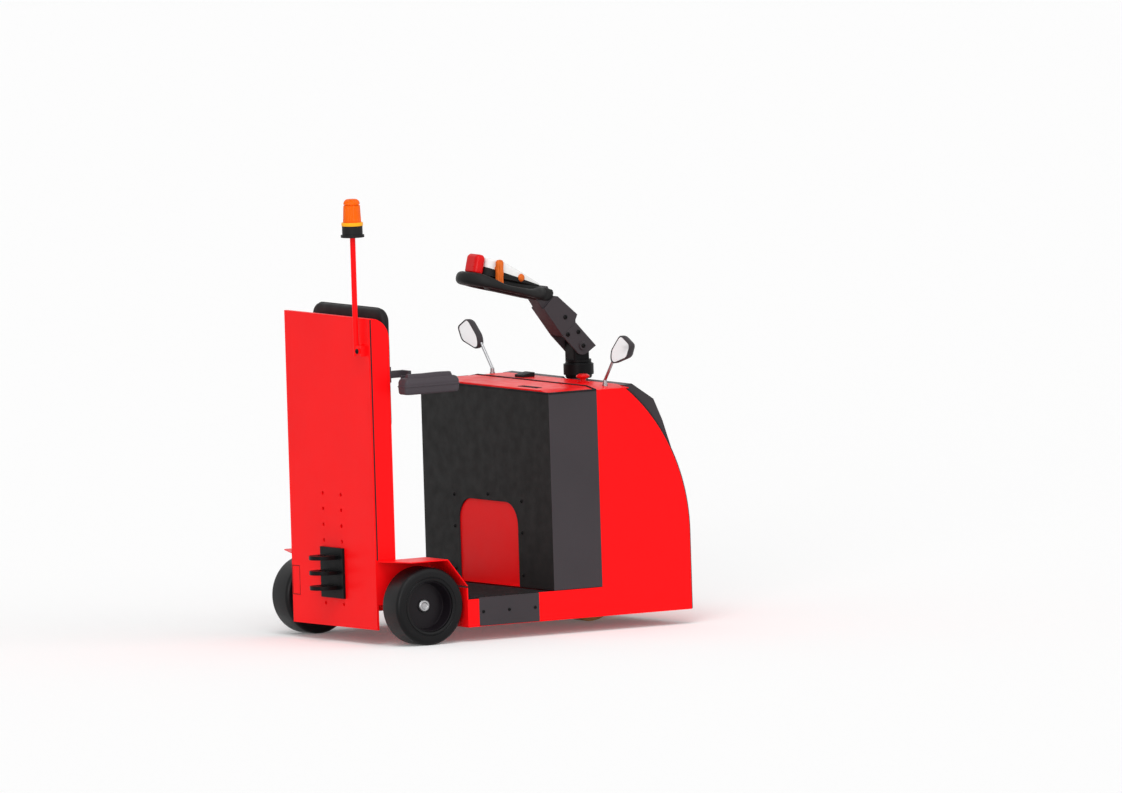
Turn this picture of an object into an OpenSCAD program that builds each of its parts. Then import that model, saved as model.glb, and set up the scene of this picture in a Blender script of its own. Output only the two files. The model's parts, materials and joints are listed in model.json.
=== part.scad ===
// Three-wheel stand-on airport baggage tug.
// X runs forward from the tow plate, Y to the tug's left, Z up from the floor.

/* [Overall] */
// Width over the side panels
body_w = 800; // [720:1:900]
// Rear face of the tow plate to the front edge of the side panels
body_len = 1138; // [1080:1:1240]
// Underside of the side panels above the floor
skirt_z = 49; // [44:1:58]
// Standing surface of the platform above the floor
platform_z = 147; // [143:1:156]
// Top edge of the side panels above the floor
side_top_z = 799; // [770:1:838]
// Thickness of the body sheet
sheet_t = 5; // [4:0.5:7]

/* [Tow plate and backrest] */
// Width of the tow plate and the backrest column
plate_w = 524; // [480:1:560]
// Top of the tow plate above the floor
plate_top_z = 1083; // [1010:1:1168]
// Bottom of the tow plate above the floor
plate_bottom_z = 51; // [44:1:68]
// Thickness of the tow plate
plate_t = 8; // [6:1:12]
// Depth of the backrest column, tow plate included
column_d = 79; // [72:1:95]
// Radius of the column's front shoulder
shoulder_r = 70; // [50:1:71]
// Margin between the cushion and the column's side
cushion_margin = 42; // [36:1:72]
// Height of the backrest cushion
cushion_h = 420; // [300:1:480]
// Thickness of the backrest cushion
cushion_t = 46; // [30:1:55]

/* [Rear wheels] */
// Diameter of a rear tyre
rear_d = 258; // [244:1:264]
// Width of a rear tyre
rear_w = 104; // [92:1:112]
// Distance from the tow plate to the rear axle
axle_x = 126; // [118:1:132]
// Radius of a rear rim where the tyre seats
rim_r = 84; // [74:1:90]
// Radius of a stub axle
stub_r = 15; // [12:0.5:18]

/* [Drive wheel] */
// Distance from the front edge of the side panels back to the steering axis
steer_back = 165; // [150:1:180]
// Diameter of the drive tyre
drive_d = 230; // [210:1:240]
// Width of the drive tyre
drive_w = 74; // [64:1:78]
// Radius of the drive wheel's core
drive_core_r = 88; // [70:1:92]
// Radius of the drive wheel's axle
drive_axle_r = 14; // [10:0.5:16]

/* [Console] */
// Distance from the front edge of the side panels back to the console's rear face
console_back = 533; // [510:1:560]
// Distance from the front edge of the side panels back to the console's seam
seam_back = 345; // [330:1:370]
// Width of the knee arch in the console
arch_w = 366; // [320:1:420]
// Top of the knee arch above the floor
arch_top_z = 425; // [388:1:488]
// Radius of the knee arch's corners
arch_r = 75; // [50:1:110]
// Rise of the deck's crown above the side panels
crown_h = 9; // [6:1:16]

/* [Front] */
// How far the front curve leans back between the front edge and the deck
front_run = 235; // [205:1:265]
// Height at which the front curve meets the upright front
front_z = 308; // [288:1:328]
// How far the hood stands proud of the side panels
hood_proud = 10; // [6:1:16]
// Radius of a headlamp
lamp_r = 43; // [36:1:46]
// Distance between the headlamps
lamp_span = 460; // [380:1:520]
// How far a headlamp's centre lies below the side panels' top
lamp_drop = 156; // [150:1:164]

/* [Battery] */
// Length of the battery
battery_len = 200; // [160:1:220]
// Width of the battery
battery_w = 640; // [560:1:700]
// Height of the battery
battery_h = 520; // [440:1:580]

/* [Coupler] */
// Reach of the coupler's jaws behind the tow plate
jaw_reach = 88; // [70:1:100]
// Half width of a jaw
jaw_r = 45; // [36:1:52]
// Thickness of a jaw
jaw_t = 13; // [10:1:18]
// Height of the middle jaw above the floor
jaw_z = 231; // [223:1:238]
// Radius of the coupling pin's hole
pin_hole_r = 16; // [10:0.5:20]
// Pitch of the jaws
jaw_pitch = 50; // [46:1:54]
// Height of the lowest row of holes above the floor
row_z = 125; // [116:1:130]
// Pitch of the rows of holes
row_pitch = 52; // [50:1:56]
// Distance between the two columns of holes
hole_span = 112; // [100:1:120]
// Radius of the holes in the tow plate
hole_r = 6.5; // [5:0.5:8]

/* [Beacon] */
// Distance of the beacon pole from the tow plate's right edge
pole_inset = 56; // [45:1:90]
// Radius of the beacon pole
pole_r = 9; // [7:0.5:12]
// Underside of the beacon above the floor
beacon_z = 1352; // [1258:1:1458]
// Radius of the beacon's lens
lens_r = 30; // [25:0.5:38]
// Height of the beacon's lens
lens_h = 78; // [60:1:90]

/* [Tiller] */
// Height of the tiller's pivot above the floor
pivot_z = 913; // [905:1:933]
// Radius of the tiller's pivot pin
pivot_r = 8; // [6:0.5:10]
// Width of the tiller arm
arm_w = 80; // [70:1:90]
// Angle of the tiller head above the horizontal
head_tilt = 14; // [8:1:22]
// Length of the tiller head
head_len = 312; // [296:1:330]
// Width of the tiller head's loop
head_w = 210; // [190:1:240]
// Radius of the steering shaft
shaft_r = 30; // [24:0.5:34]

/* [Mirrors] */
// Distance of a mirror's foot from the middle
mirror_foot_y = 352; // [335:1:365]
// How far a mirror's rod leans outwards
mirror_out = 56; // [40:1:70]
// How far a mirror's rod rises above its foot
mirror_rise = 69; // [55:1:80]
// Depth of a mirror's housing
mirror_d = 30; // [24:1:40]

/* [Hidden] */
$fn = 64;
sides = ["left", "right"];
run_gap = 0.08;
seat_gap = 0.3;
red = "#f01018";
black = "#262626";
dark = "#3f3b40";
steel = "#b8b8bc";

steer_x = body_len - steer_back;
console_x = body_len - console_back;
seam_x = body_len - seam_back;
half_w = body_w / 2;
half_plate = plate_w / 2;
cushion_w = plate_w - 2 * cushion_margin;
pole_y = half_plate - pole_inset;
hood_front_x = body_len + hood_proud;
mid_x = (hood_front_x - jaw_reach) / 2;
rear_r = rear_d / 2;
dish_w = 4;
drive_r = drive_d / 2;
wheel_y = half_w - 2 - rear_w / 2;

mat_t = 6;
floor_t = 8;
floor_top = platform_z - mat_t;
floor_bottom = floor_top - floor_t;
step_x = axle_x + rear_r + 13;
sill_end_x = console_x - 60;
kick_x = step_x + 44;
kick_t = 4;
sill_in = half_w - kick_t - sheet_t;

fender_t = 4;
fender_z = rear_d + 22;
fender_fold_x = axle_x + 72;
fender_low_z = fender_z - 94;
fender_out = half_w - 2;
fender_cut_x = 56;

front_rise = side_top_z - front_z;
front_r = (front_run * front_run + front_rise * front_rise) / (2 * front_run);
front_cx = body_len - front_r;
hood_t = 5;
hood_half = half_w - sheet_t - 11;
cover_half = hood_half - 10;
deck_x = seam_x + 1;
deck_end_x = body_len - front_run;
deck_top_z = side_top_z + crown_h;
deck_flat = half_w - 60;

turret_hole_r = drive_r + 50;
bridge_z = drive_d + 32;
bridge_t = 20;
turret_r = 110;
yoke_gap = drive_w / 2 + 8;
yoke_t = 12;
motor_r = 78;
motor_h = 240;
motor_z = bridge_z + bridge_t + 8;
collar_r = 50;
collar_h = 48;
post_r = 43;

post_half = arm_w / 2 - 7;
loop_h = 44;
cover_r = 36;
pivot_x = steer_x - 6;
jaw_cx = jaw_r - jaw_reach;
cover_w = 43;
cover_h = 94;
cover_z = 144;

arm_z = 828;
arm_x = column_d + 1;
arm_len = 210;
arm_h = 68;
arm_pad_w = 60;
arm_y = half_plate + 39;
bracket_t = 12;
bracket_y = half_plate - 18;
mirror_x = seam_x + 63;
mirror_foot_h = 20;
mirror_foot_z = deck_top_z - crown_h * (mirror_foot_y - deck_flat) / (half_w - sheet_t - deck_flat) - 2;
mirror_top_y = mirror_foot_y + mirror_out;
mirror_top_z = mirror_foot_z + mirror_foot_h + mirror_rise;

// Places vehicle coordinates, which start at the tow plate, around the part's own origin.
module placed() {
    translate([-mid_x, 0, 0]) children();
}

// Keeps the left copy, or mirrors it to the right.
module on_side(side) {
    mirror([0, side == "right" ? 1 : 0, 0]) children();
}

// Extrudes an outline drawn in X and Z over a stretch of Y.
module along_y(y0, y1) {
    translate([0, y1, 0]) rotate([90, 0, 0]) linear_extrude(y1 - y0) children();
}

// Axis-aligned block between two corners.
module block(low, high) {
    translate(low) cube(high - low);
}

// Round bar along Y.
module bar_y(r, y0, y1) {
    translate([0, y0, 0]) rotate([-90, 0, 0]) cylinder(r = r, h = y1 - y0);
}

// Rounded box whose edges are all eased.
module soft_box(low, high, r) {
    hull()
        for (x = [low.x + r, high.x - r], y = [low.y + r, high.y - r], z = [low.z + r, high.z - r])
            translate([x, y, z]) sphere(r = r, $fn = 24);
}

// Floor, wheel-arch walls, sills and cross walls, welded from sheet.
module chassis() {
    color(red) difference() {
        union() {
            block([plate_t, -half_plate, floor_bottom], [step_x, half_plate, floor_top]);
            block([step_x, -sill_in, floor_bottom], [body_len - hood_t, sill_in, floor_top]);
            for (s = [-1, 1]) {
                arch_wall = s * (half_plate - sheet_t / 2);
                translate([0, arch_wall, 0]) along_y(-sheet_t / 2, sheet_t / 2)
                    polygon([[plate_t, floor_bottom], [step_x + 1, floor_bottom], [step_x + 1, fender_low_z - 6],
                             [fender_fold_x - 4, fender_z - fender_t], [plate_t, fender_z - fender_t]]);
                sill = s * (sill_in + sheet_t / 2);
                translate([0, sill, 0])
                    block([step_x, -sheet_t / 2, skirt_z], [sill_end_x, sheet_t / 2, floor_top]);
                end_post = s * (half_w + sill_in) / 2;
                translate([0, end_post, 0])
                    block([step_x, -(half_w - sill_in) / 2, skirt_z], [kick_x, (half_w - sill_in) / 2, floor_top]);
                arch_front = s * (half_plate + sill_in + sheet_t) / 2;
                translate([0, arch_front, 0])
                    block([step_x, -(sill_in + sheet_t - half_plate) / 2, skirt_z],
                          [step_x + sheet_t, (sill_in + sheet_t - half_plate) / 2, fender_low_z - 6]);
            }
        }
        translate([steer_x, 0, floor_bottom - 1]) cylinder(r = turret_hole_r, h = floor_t + 2);
    }
}

// Ribbed rubber mat on the standing platform.
module platform_mat() {
    rib_pitch = 22;
    rib_w = 8;
    groove = 1.5;
    mat_half = half_w - kick_t - sheet_t - 1;
    color(black) difference() {
        union() {
            block([column_d + 2, -half_plate + sheet_t + 1, floor_top],
                  [step_x + sheet_t + 1, half_plate - sheet_t - 1, platform_z]);
            block([step_x + sheet_t + 1, -mat_half, floor_top], [console_x - 8, mat_half, platform_z]);
        }
        for (x = [column_d + 20 : rib_pitch : console_x - 20])
            block([x, -mat_half - 1, platform_z - groove], [x + rib_pitch - rib_w, mat_half + 1, platform_z + 1]);
    }
}

// Dark side plate of the step, with its lower rear corner rounded.
module kick_plate(side) {
    corner = 10;
    top = platform_z - 2;
    bottom = skirt_z + 2;
    color(dark) on_side(side) along_y(half_w - kick_t, half_w)
        difference() {
            polygon([[kick_x, bottom], [sill_end_x, bottom], [sill_end_x, top], [kick_x, top]]);
            difference() {
                translate([kick_x, bottom]) square(corner);
                translate([kick_x + corner, bottom + corner]) circle(r = corner);
            }
            for (i = [0, 1, 2])
                translate([kick_x + 16 + i * (sill_end_x - kick_x - 32) / 2, (top + bottom) / 2]) circle(r = 3);
        }
}

// Folded mudguard: a flat top with a slanted rear corner and a sloping front.
module fender(side) {
    run = step_x + sheet_t - fender_fold_x;
    drop = fender_z - fender_low_z;
    slope_len = sqrt(run * run + drop * drop);
    under = fender_t * (slope_len - run) / drop;
    color(red) on_side(side) difference() {
        along_y(half_plate - sheet_t, fender_out)
            polygon([
                [plate_t, fender_z], [fender_fold_x, fender_z],
                [fender_fold_x + run, fender_low_z],
                [fender_fold_x + run - fender_t * slope_len / drop, fender_low_z],
                [fender_fold_x - under, fender_z - fender_t], [plate_t, fender_z - fender_t]
            ]);
        translate([0, 0, fender_z - 2 * fender_t]) linear_extrude(4 * fender_t)
            polygon([[0, half_plate], [fender_cut_x, fender_out + 1], [0, fender_out + 1]]);
    }
}

// Upright rear plate with the two columns of coupler holes.
module tow_plate() {
    color(red) difference() {
        block([0, -half_plate, plate_bottom_z], [plate_t, half_plate, plate_top_z]);
        for (row = [0, 4, 5, 6, 7], s = [-1, 1])
            translate([-1, s * hole_span / 2, row_z + row * row_pitch])
                rotate([0, 90, 0]) cylinder(r = hole_r, h = plate_t + 2);
        block([-1, half_plate - 4 - cover_w, cover_z], [plate_t + 1, half_plate - 4, cover_z + cover_h]);
    }
}

// Flush plate that closes the small window near the tow plate's left edge.
module access_cover() {
    color(red) block([0, half_plate - 4 - cover_w + seat_gap, cover_z + seat_gap],
                     [plate_t, half_plate - 4 - seat_gap, cover_z + cover_h - seat_gap]);
}

// Hollow column behind the cushion, closed by the tow plate, with a round front shoulder.
module backrest_column() {
    module outline(inset) {
        front = column_d - inset;
        top = plate_top_z - inset;
        r = shoulder_r - inset;
        low = fender_z + (inset > 0 ? -1 : 0);
        intersection() {
            translate([plate_t, low]) square([front - plate_t, top - low]);
            union() {
                translate([plate_t, low]) square([front - plate_t, top - r - low]);
                translate([front - r, top - r]) circle(r = r);
                translate([plate_t, low]) square([max(front - r - plate_t, 0.01), top - low]);
            }
        }
    }
    color(red) difference() {
        along_y(-half_plate, half_plate) outline(0);
        translate([-0.01, 0, 0]) along_y(-half_plate + sheet_t, half_plate - sheet_t) outline(sheet_t);
    }
}

// Padded lean-on cushion.
module backrest_cushion() {
    top = plate_top_z + 24;
    color(black) soft_box([column_d + seat_gap, -cushion_w / 2, top - cushion_h],
                          [column_d + seat_gap + cushion_t, cushion_w / 2, top], 20);
}

// Cross beam with hanger plates and two stub axles.
module rear_axle() {
    beam = 44;
    hanger_t = 10;
    color(red) union() {
        block([axle_x - beam / 2, -half_plate + sheet_t, floor_bottom - 30],
              [axle_x + beam / 2, half_plate - sheet_t, floor_bottom]);
        for (side = sides) on_side(side) {
            block([axle_x - beam / 2, half_plate, floor_bottom - 30],
                  [axle_x + beam / 2, half_plate + hanger_t, rear_r + 40]);
            block([axle_x - beam / 2, half_plate - sheet_t - 1, floor_bottom - 30],
                  [axle_x + beam / 2, half_plate + 1, floor_bottom]);
            translate([axle_x, 0, rear_r]) bar_y(stub_r, half_plate + hanger_t - 1, wheel_y + dish_w - 2);
            translate([axle_x, 0, rear_r]) bar_y(stub_r + 9, half_plate + hanger_t - 1, wheel_y - rear_w / 2 + 5);
        }
    }
}

// Cast three-jaw coupler with one vertical hole for the pin.
module coupler() {
    back_half = 70;
    back_t = 9;
    low = jaw_z - 86;
    high = jaw_z + 81;
    color(black) difference() {
        union() {
            block([-back_t, -back_half, low], [0, back_half, high]);
            for (i = [-1, 0, 1]) translate([0, 0, jaw_z + i * jaw_pitch - jaw_t / 2]) {
                translate([jaw_cx, 0, 0]) cylinder(r = jaw_r, h = jaw_t);
                block([jaw_cx, -jaw_r, 0], [-back_t + 1, jaw_r, jaw_t]);
            }
        }
        translate([jaw_cx, 0, low - 1]) cylinder(r = pin_hole_r, h = high - low + 2);
        block([0, -back_half, low - 1], [jaw_r, back_half, high + 1]);
    }
}

// Flat bar from a foot on the column, bent outwards to a tab on the pad.
module armrest_bracket(side) {
    foot_t = 6;
    bar_h = 24;
    tab_t = 5;
    top = arm_z + arm_h + 8;
    end = column_d + 61;
    color(dark) on_side(side) {
        block([column_d, bracket_y - 10, top - bar_h - 14], [column_d + foot_t, half_plate - 2, top + 14]);
        block([column_d + foot_t - 1, bracket_y, top - bar_h], [end, bracket_y + bracket_t, top]);
        block([end - bracket_t, bracket_y, top - bar_h], [end, arm_y - tab_t + 1, top]);
        block([end - 42, arm_y - tab_t, arm_z + 14], [end + 30, arm_y, top - 14]);
    }
}

// Padded armrest bolted to the bracket's tab.
module armrest_pad(side) {
    color(dark) on_side(side)
        soft_box([arm_x, arm_y, arm_z], [arm_x + arm_len, arm_y + arm_pad_w, arm_z + arm_h], 12);
}

// Red pole with the clamp that holds it to the tow plate.
module beacon_pole() {
    pole_x = -pole_r - 6;
    low = plate_top_z - 124;
    color(red) {
        translate([pole_x, -pole_y, low]) cylinder(r = pole_r, h = beacon_z - low);
        block([pole_x - pole_r + 3, -pole_y - 40, low], [0, -pole_y, low + 34]);
        translate([pole_x - pole_r + 4, -pole_y - 26, low + 17]) rotate([0, -90, 0]) cylinder(r = 9, h = 7, $fn = 6);
    }
}

// Black foot of the beacon and its yellow clamp ring.
module beacon_base() {
    foot_h = 8;
    body_h = 30;
    ring_h = 11;
    color(black) translate([-pole_r - 6, -pole_y, beacon_z]) {
        cylinder(r = lens_r + 9, h = foot_h);
        cylinder(r = lens_r + 4, h = foot_h + body_h);
        translate([0, 0, foot_h + body_h]) cylinder(r = lens_r + 4.5, h = ring_h);
    }
}

// Amber lens with a slight taper and a domed top.
module beacon_lens() {
    base_h = 49;
    dome_r = 18;
    top_r = lens_r - 1;
    color("orange") translate([-pole_r - 6, -pole_y, beacon_z + base_h]) rotate_extrude() difference() {
        polygon([[0, 0], [lens_r, 0], [top_r, lens_h], [0, lens_h]]);
        difference() {
            translate([top_r - dome_r, lens_h - dome_r]) square(dome_r + 6);
            translate([top_r - dome_r, lens_h - dome_r]) circle(r = dome_r);
        }
    }
}

// Outline of the knee arch, in Y and Z.
module arch_outline(grow) {
    w = arch_w / 2 + grow;
    r = arch_r + grow;
    top = arch_top_z + grow;
    translate([-w, platform_z - 2]) square([2 * w, top - r - platform_z + 2]);
    translate([-w + r, platform_z]) square([2 * w - 2 * r, top - platform_z]);
    for (s = [-1, 1]) translate([s * (w - r), top - r]) circle(r = r);
}

// Black rear and side walls of the console, with the knee arch cut out.
module console_cover() {
    color(black) difference() {
        block([console_x, -half_w, platform_z], [seam_x, half_w, side_top_z]);
        block([console_x + sheet_t, -half_w + sheet_t, platform_z - 1], [seam_x + 1, half_w - sheet_t, side_top_z + 1]);
        translate([console_x - 1, 0, 0]) rotate([90, 0, 90]) linear_extrude(sheet_t + 2) arch_outline(0);
    }
}

// Red panel seen through the knee arch.
module knee_panel() {
    lap = 40;
    color(red) translate([console_x + sheet_t, 0, 0]) rotate([90, 0, 90]) linear_extrude(sheet_t)
        intersection() {
            arch_outline(lap);
            translate([-half_w, platform_z]) square([body_w, side_top_z]);
        }
}

// Crowned deck section: flat in the middle, falling to the side panels.
module deck_outline(t) {
    reach = half_w - sheet_t;
    polygon([[-reach, side_top_z - t], [reach, side_top_z - t], [reach, side_top_z],
             [deck_flat, deck_top_z], [-deck_flat, deck_top_z], [-reach, side_top_z]]);
}

// Red lid over the console, with a grip recess near its rear edge.
module console_lid() {
    grip_w = 120;
    grip_d = 22;
    grip_x = console_x + 38;
    grip_y = -207;
    seam_gap = 3;
    color(red) difference() {
        translate([console_x + sheet_t, 0, 0]) rotate([90, 0, 90])
            linear_extrude(seam_x - console_x - sheet_t - seam_gap) deck_outline(4);
        block([grip_x, grip_y - grip_w / 2, deck_top_z - 9], [grip_x + grip_d, grip_y + grip_w / 2, deck_top_z + 1]);
    }
}

// Red deck in front of the lid, with the passage for the steering shaft.
module front_deck() {
    color(red) difference() {
        translate([deck_x, 0, 0]) rotate([90, 0, 90])
            linear_extrude(steer_x + collar_r - deck_x) deck_outline(4);
        translate([0, half_w, 0]) rotate([90, 0, 0]) linear_extrude(body_w) difference() {
            translate([deck_end_x - 60, 0]) square([400, 2 * side_top_z]);
            translate([front_cx, front_z]) circle(r = front_r + hood_proud, $fn = 128);
        }
        translate([steer_x, 0, 0]) cylinder(r = shaft_r + 12, h = 2 * side_top_z);
    }
}

// Dark instrument panel with a display and a key switch.
module instrument_panel() {
    x = seam_x + 37;
    panel_len = 46;
    panel_w = 54;
    color(black) translate([0, 172, deck_top_z]) rotate([90, 0, 0]) linear_extrude(panel_w)
        polygon([[x, 0], [x + panel_len, 0], [x + panel_len, 15], [x + panel_len - 8, 15], [x, 8]]);
}

// Red mushroom stop button.
module stop_button() {
    color(red) translate([seam_x + 72, -200, deck_top_z]) {
        cylinder(r = 20, h = 4);
        cylinder(r = 10, h = 20);
        translate([0, 0, 14]) cylinder(r1 = 16, r2 = 22.5, h = 4);
        translate([0, 0, 18]) cylinder(r = 22.5, h = 5);
        translate([0, 0, 23]) cylinder(r1 = 22.5, r2 = 14, h = 5);
    }
}

// Outline of a red side panel in X and Z: skirt, upright and curved front.
module side_outline() {
    polygon([[sill_end_x, skirt_z], [body_len, skirt_z], [body_len, front_z], [front_cx, front_z],
             [seam_x, front_z], [seam_x, platform_z - 1], [sill_end_x, platform_z - 1]]);
    intersection() {
        translate([seam_x, front_z]) square([body_len - seam_x, side_top_z - front_z]);
        translate([front_cx, front_z]) circle(r = front_r, $fn = 128);
    }
}

// Red side panel.
module side_panel(side) {
    color(red) on_side(side) along_y(half_w - sheet_t, half_w) side_outline();
}

// Curved red sheet between the side panels.
module front_hood() {
    out = front_r + hood_proud;
    color(red) along_y(-hood_half, hood_half) union() {
        difference() {
            translate([front_cx, front_z]) circle(r = out, $fn = 128);
            translate([front_cx, front_z]) circle(r = out - hood_t, $fn = 128);
            translate([front_cx - 2 * out, -2 * out]) square([4 * out, 2 * out + front_z]);
            translate([front_cx - 2 * out, 0]) square([2 * out + steer_x + collar_r + 4 - front_cx, 2 * side_top_z]);
        }
        translate([hood_front_x - hood_t, skirt_z]) square([hood_t, front_z - skirt_z]);
    }
}

// Point on the hood's front curve, or proud of it, at a drop below the side panels' top.
function on_front(drop, proud) =
    [front_cx + sqrt(pow(front_r + proud, 2) - pow(front_rise - drop, 2)), side_top_z - drop];

cover_knee = on_front(47, 54);
cover_brow = on_front(119, 36);
cover_chin = on_front(216, 16);

// Faceted dark cover that stands on the hood's upper half.
module bonnet_cover() {
    cover_rise = 9;
    color(dark) difference() {
        along_y(-cover_half, cover_half) difference() {
            polygon([[deck_end_x, side_top_z + 6], [deck_end_x + 43, side_top_z + cover_rise],
                     cover_knee, cover_brow, cover_chin, cover_chin - [64, 0], [deck_end_x, side_top_z - 60]]);
            translate([front_cx, front_z]) circle(r = front_r + hood_proud, $fn = 128);
        }
        lamp_places() cylinder(r = lamp_r, h = 30);
        translate([steer_x, 0, 0]) cylinder(r = collar_r + 8, h = 2 * side_top_z);
    }
}

// Places its children on the cover's steep face, with Z pointing out of it.
module lamp_places() {
    sunk = 5;
    fall = cover_brow.y - cover_chin.y;
    run = cover_chin.x - cover_brow.x;
    part = (cover_brow.y - side_top_z + lamp_drop) / fall;
    for (s = [-1, 1])
        translate([cover_brow.x + part * run, s * lamp_span / 2, side_top_z - lamp_drop])
            rotate([0, atan2(fall, run), 0]) translate([0, 0, -sunk]) children();
}

// Two round headlamps set into the cover.
module headlamps() {
    rim_h = 9;
    lens_rise = 5;
    color("white") lamp_places() {
        cylinder(r = lamp_r - seat_gap, h = rim_h);
        translate([0, 0, rim_h]) cylinder(r1 = lamp_r - 3, r2 = lamp_r - 11, h = lens_rise);
    }
}

// Battery, one plain block on the floor.
module battery() {
    clearance = 30;
    color("gray") block([console_x + clearance, -battery_w / 2, floor_top],
                        [console_x + clearance + battery_len, battery_w / 2, floor_top + battery_h]);
}

// Bridge over the drive wheel that carries the turret.
module turret_bridge() {
    half = turret_hole_r + 8;
    wall = 8;
    color(dark) difference() {
        union() {
            block([steer_x - 100, -half - wall, bridge_z], [steer_x + 100, half + wall, bridge_z + bridge_t]);
            for (s = [-1, 1]) translate([0, s * (half + wall / 2), 0])
                block([steer_x - 100, -wall / 2, floor_top], [steer_x + 100, wall / 2, bridge_z]);
        }
        translate([steer_x, 0, bridge_z - 1]) cylinder(r = turret_r - 30 + run_gap, h = bridge_t + 2);
    }
}

// Bearing collar of the steering shaft on the deck.
module column_collar() {
    color(black) translate([steer_x, 0, deck_top_z]) difference() {
        union() {
            translate([0, 0, -4]) cylinder(r = shaft_r + 12, h = 4);
            cylinder(r = collar_r - 6, h = collar_h);
            translate([0, 0, 8]) cylinder(r = collar_r, h = collar_h - 12);
        }
        translate([0, 0, -5]) cylinder(r = shaft_r + run_gap, h = collar_h + 10);
    }
}

// Foot and slanted rod of both mirrors.
module mirror_stalks() {
    rod_r = 5;
    lean = atan2(mirror_out, mirror_rise);
    color("gray") for (side = sides) on_side(side)
        translate([mirror_x, mirror_foot_y, mirror_foot_z]) {
            cylinder(r = 9, h = 8);
            cylinder(r = 7, h = mirror_foot_h);
            translate([0, 0, mirror_foot_h - 3]) sphere(r = 7);
            translate([0, 0, mirror_foot_h]) rotate([-lean, 0, 0]) cylinder(r = rod_r, h = norm([mirror_out, mirror_rise]) + 14);
        }
}

// Outline of a mirror around the rod's end, with X outwards and Y up.
module mirror_outline() {
    polygon([[4, 3], [20, -10], [109, 15], [133, 60], [78, 89], [62, 83], [10, 34]]);
}

// Draws around a mirror's rod end, with the operator's side at the bottom of Z.
module mirror_frame() {
    for (side = sides) on_side(side)
        translate([mirror_x - mirror_d / 2, mirror_top_y, mirror_top_z]) rotate([90, 0, 90]) children();
}

// Mirror shells, each with a shallow recess for its glass.
module mirror_housings() {
    middle = [66, 38];
    color(dark) mirror_frame() difference() {
        linear_extrude(mirror_d) mirror_outline();
        translate([middle.x, middle.y, -1]) linear_extrude(4) scale(0.92) translate(-middle) mirror_outline();
    }
}

// Mirror glasses, facing the operator.
module mirror_glasses() {
    middle = [66, 38];
    color("white") mirror_frame()
        translate([middle.x, middle.y, 0.5]) linear_extrude(2.5) scale(0.9) translate(-middle) mirror_outline();
}

// Turns a wheel's revolved section so that its axis lies along Y and its outer face points left.
module wheel_at(x, y, z) {
    translate([x, y, z]) rotate([-90, 0, 0]) children();
}

// Solid tyre with a flat tread and round shoulders.
module rear_tyre(side) {
    shoulder = 15;
    lip = 5;
    half = rear_w / 2;
    color(black) on_side(side) wheel_at(axle_x, wheel_y, rear_r) rotate_extrude($fn = 96) difference() {
        translate([rim_r, -half]) square([rear_r - rim_r, rear_w]);
        for (s = [0, 1]) mirror([0, s]) {
            difference() {
                translate([rear_r - shoulder, half - shoulder]) square(shoulder + 1);
                translate([rear_r - shoulder, half - shoulder]) circle(r = shoulder);
            }
            difference() {
                translate([rim_r - 1, half - lip]) square(lip + 1);
                translate([rim_r + lip, half - lip]) circle(r = lip);
            }
        }
    }
}

// Pressed wheel with a deep dish on its outer side.
module rear_hub(side) {
    rim_half = rear_w / 2 - 6;
    disc_t = 14;
    boss_r = stub_r + 21;
    bore = stub_r + run_gap;
    color("#1b171c") on_side(side) wheel_at(axle_x, wheel_y, rear_r) rotate_extrude($fn = 96)
        polygon([[bore, -rim_half + 2], [boss_r, -rim_half + 2], [boss_r, dish_w - disc_t], [rim_r - 9, dish_w - disc_t],
                 [rim_r - 5, -rim_half], [rim_r, -rim_half], [rim_r, rim_half], [rim_r - 3, rim_half],
                 [rim_r - 9, dish_w], [bore, dish_w]]);
}

// Bright cap over the end of the stub axle.
module hub_cap(side) {
    cap_r = 21;
    color(steel) on_side(side) wheel_at(axle_x, wheel_y, rear_r) rotate_extrude()
        polygon([[0, dish_w], [cap_r, dish_w], [cap_r, dish_w + 6], [cap_r - 4, dish_w + 10],
                 [cap_r - 9, dish_w + 10], [cap_r - 11, dish_w + 7], [0, dish_w + 7]]);
}

// Rotating fork of the drive wheel, with its turret spigot and axle.
module drive_yoke() {
    plate_z = bridge_z - 14;
    color(dark) translate([steer_x, 0, 0]) union() {
        for (s = [-1, 1]) translate([0, s * (yoke_gap + yoke_t / 2), 0]) 
            block([-44, -yoke_t / 2, drive_r - 36], [44, yoke_t / 2, plate_z + 1]);
        translate([0, 0, plate_z]) cylinder(r = turret_r, h = 14 - seat_gap);
        translate([0, 0, plate_z + 1]) cylinder(r = turret_r - 30, h = bridge_t + 21);
        translate([0, 0, drive_r]) bar_y(drive_axle_r, -yoke_gap - 1, yoke_gap + 1);
    }
}

// Traction motor, one plain block on the turret.
module drive_motor() {
    color("gray") translate([steer_x, 0, motor_z]) cylinder(r = motor_r, h = motor_h);
}

// Steering shaft from the motor's top to the tiller's pivot post.
module steering_shaft() {
    low = motor_z + motor_h;
    post_z = deck_top_z + collar_h + 2;
    color(black) difference() {
        union() {
            translate([steer_x, 0, low]) cylinder(r = shaft_r, h = post_z - low + 1);
            translate([steer_x, 0, post_z]) cylinder(r = post_r, h = 8);
            intersection() {
                union() {
                    block([pivot_x - 28, -post_half, post_z + 1], [pivot_x + 28, post_half, pivot_z]);
                    translate([pivot_x, 0, pivot_z]) bar_y(28, -post_half, post_half);
                }
                translate([steer_x, 0, post_z]) cylinder(r = post_r, h = 200);
            }
        }
        translate([pivot_x, 0, pivot_z]) bar_y(pivot_r + run_gap, -arm_w, arm_w);
    }
}

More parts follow.
